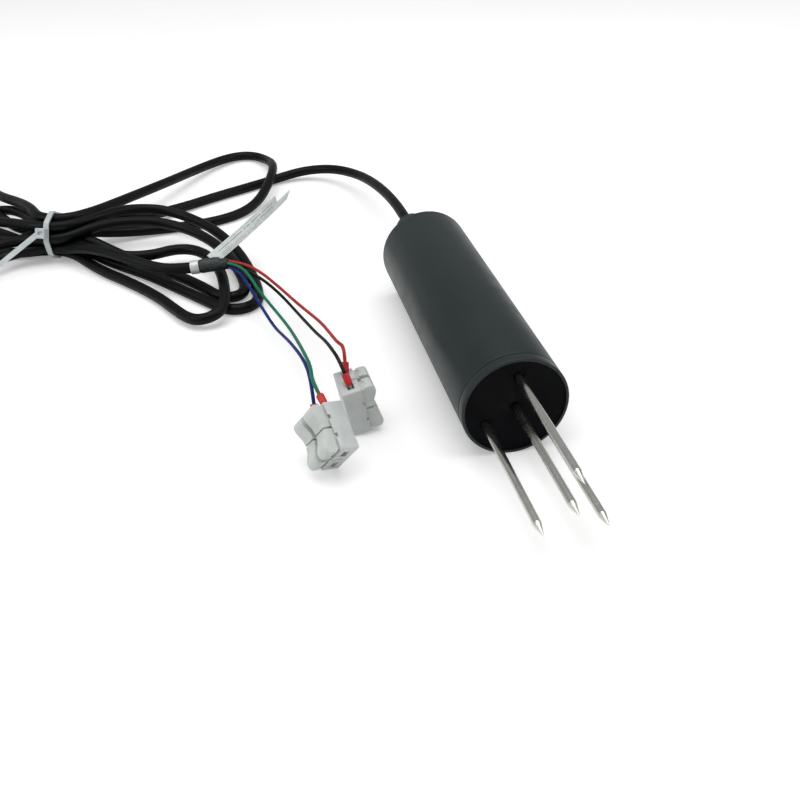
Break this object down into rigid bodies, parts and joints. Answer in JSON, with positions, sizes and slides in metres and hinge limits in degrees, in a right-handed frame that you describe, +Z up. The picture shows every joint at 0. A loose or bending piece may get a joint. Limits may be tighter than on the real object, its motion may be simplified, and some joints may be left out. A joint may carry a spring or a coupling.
{
  "type": "soil moisture sensor",
  "caption": "Cylindrical soil moisture probe with steel needles on its face, a cable gland, a tied hank of cable with a flag label, and lever wire connectors on its cores.",
  "frame": {"origin": "on the bench, under the middle of the probe (gland end to needle tips) without its cable", "axes": "+X along the probe towards the needle tips, +Z up from the bench, +Y across; the cable leaves towards -X and lies on the -Y side"},
  "size_m": [0.3929, 0.274, 0.04],
  "materials": {
    "housing": "finely matt moulded dark grey-green plastic",
    "head": "matt black moulded plastic",
    "rubber_black": "soft black rubber",
    "needle_steel": "polished stainless steel with fine turning marks",
    "circuit_board": "green solder mask on glass laminate",
    "tinned_steel": "tin plated, dull",
    "chip_black": "matt black moulding",
    "resin": "black casting resin",
    "gland": "black nylon with a slight sheen",
    "cable_jacket": "matt black cable jacket",
    "white_band": "satin white tape",
    "shrink_grey": "dark grey heat-shrink, slightly wrinkled",
    "shrink_black": "black heat-shrink",
    "label": "thin milky film, slightly translucent",
    "tie": "natural nylon",
    "connector_clear": "milky translucent plastic",
    "lever_clear": "milky translucent plastic",
    "spring_steel": "bent spring steel",
    "ferrule": "red ferrule collar on a tinned copper sleeve",
    "core_red": "red wire insulation",
    "core_black": "black wire insulation",
    "core_green": "green wire insulation",
    "core_blue": "dark blue wire insulation"
  },
  "bodies": {
    "probe": {"cable_band": "white_band", "cable_hank": "cable_jacket", "cable_inner": "cable_jacket", "cable_lead": "cable_jacket", "cable_tail": "cable_jacket", "capacitor": "tinned_steel", "clip_front_a": "spring_steel", "clip_front_b": "spring_steel", "clip_rear_a": "spring_steel", "clip_rear_b": "spring_steel", "connector_front_shell": "connector_clear", "connector_rear_shell": "connector_clear", "controller_chip": "chip_black", "core_black": "core_black", "core_blue": "core_blue", "core_green": "core_green", "core_red": "core_red", "ferrule_black": "ferrule", "ferrule_blue": "ferrule", "ferrule_green": "ferrule", "ferrule_red": "ferrule", "gland_body": "gland", "gland_locknut": "gland", "gland_nut": "gland", "gland_seal": "rubber_black", "gland_washer": "rubber_black", "head_o_ring": "rubber_black", "housing_shell": "housing", "label_flag": "label", "line_driver_chip": "chip_black", "main_board": "circuit_board", "needle_centre": "needle_steel", "needle_left": "needle_steel", "needle_right": "needle_steel", "needle_upper": "needle_steel", "potting_disc": "resin", "probe_board": "circuit_board", "probe_head": "head", "shield_can": "tinned_steel", "shrink_boot": "shrink_black", "shrink_sleeve": "shrink_grey", "tie_head": "tie", "tie_strap": "tie", "wire_header": "chip_black"},
    "lever_front_a_in": {"lever_front_a_in": "lever_clear"},
    "lever_front_a_out": {"lever_front_a_out": "lever_clear"},
    "lever_front_b_in": {"lever_front_b_in": "lever_clear"},
    "lever_front_b_out": {"lever_front_b_out": "lever_clear"},
    "lever_rear_a_in": {"lever_rear_a_in": "lever_clear"},
    "lever_rear_a_out": {"lever_rear_a_out": "lever_clear"},
    "lever_rear_b_in": {"lever_rear_b_in": "lever_clear"},
    "lever_rear_b_out": {"lever_rear_b_out": "lever_clear"}
  },
  "joints": [
    {"name": "lever_front_a_in_press", "type": "hinge", "parent": "probe", "child": "lever_front_a_in", "pos_m": [0.0405, -0.06987, 0.01062], "axis": [-0.4211, -0.4096, -0.8093], "range_deg": [0, 7], "stiffness_Nm_per_rad": 0.3, "springref_deg": -2.86},
    {"name": "lever_front_a_out_press", "type": "hinge", "parent": "probe", "child": "lever_front_a_out", "pos_m": [0.04215, -0.06949, 0.00957], "axis": [0.4211, 0.4096, 0.8093], "range_deg": [0, 7], "stiffness_Nm_per_rad": 0.3, "springref_deg": -2.86},
    {"name": "lever_front_b_in_press", "type": "hinge", "parent": "probe", "child": "lever_front_b_in", "pos_m": [0.04399, -0.06647, 0.01734], "axis": [-0.4211, -0.4096, -0.8093], "range_deg": [0, 7], "stiffness_Nm_per_rad": 0.3, "springref_deg": -2.86},
    {"name": "lever_front_b_out_press", "type": "hinge", "parent": "probe", "child": "lever_front_b_out", "pos_m": [0.04565, -0.06609, 0.01628], "axis": [0.4211, 0.4096, 0.8093], "range_deg": [0, 7], "stiffness_Nm_per_rad": 0.3, "springref_deg": -2.86},
    {"name": "lever_rear_a_in_press", "type": "hinge", "parent": "probe", "child": "lever_rear_a_in", "pos_m": [0.02313, -0.05063, 0.01179], "axis": [0.999, 0.0414, 0.0174], "range_deg": [0, 7], "stiffness_Nm_per_rad": 0.3, "springref_deg": -2.86},
    {"name": "lever_rear_a_out_press", "type": "hinge", "parent": "probe", "child": "lever_rear_a_out", "pos_m": [0.02315, -0.05024, 0.00983], "axis": [-0.999, -0.0414, -0.0174], "range_deg": [0, 7], "stiffness_Nm_per_rad": 0.3, "springref_deg": -2.86},
    {"name": "lever_rear_b_in_press", "type": "hinge", "parent": "probe", "child": "lever_rear_b_in", "pos_m": [0.01484, -0.05097, 0.01165], "axis": [0.999, 0.0414, 0.0174], "range_deg": [0, 7], "stiffness_Nm_per_rad": 0.3, "springref_deg": -2.86},
    {"name": "lever_rear_b_out_press", "type": "hinge", "parent": "probe", "child": "lever_rear_b_out", "pos_m": [0.01485, -0.05058, 0.00969], "axis": [-0.999, -0.0414, -0.0174], "range_deg": [0, 7], "stiffness_Nm_per_rad": 0.3, "springref_deg": -2.86}
  ]
}
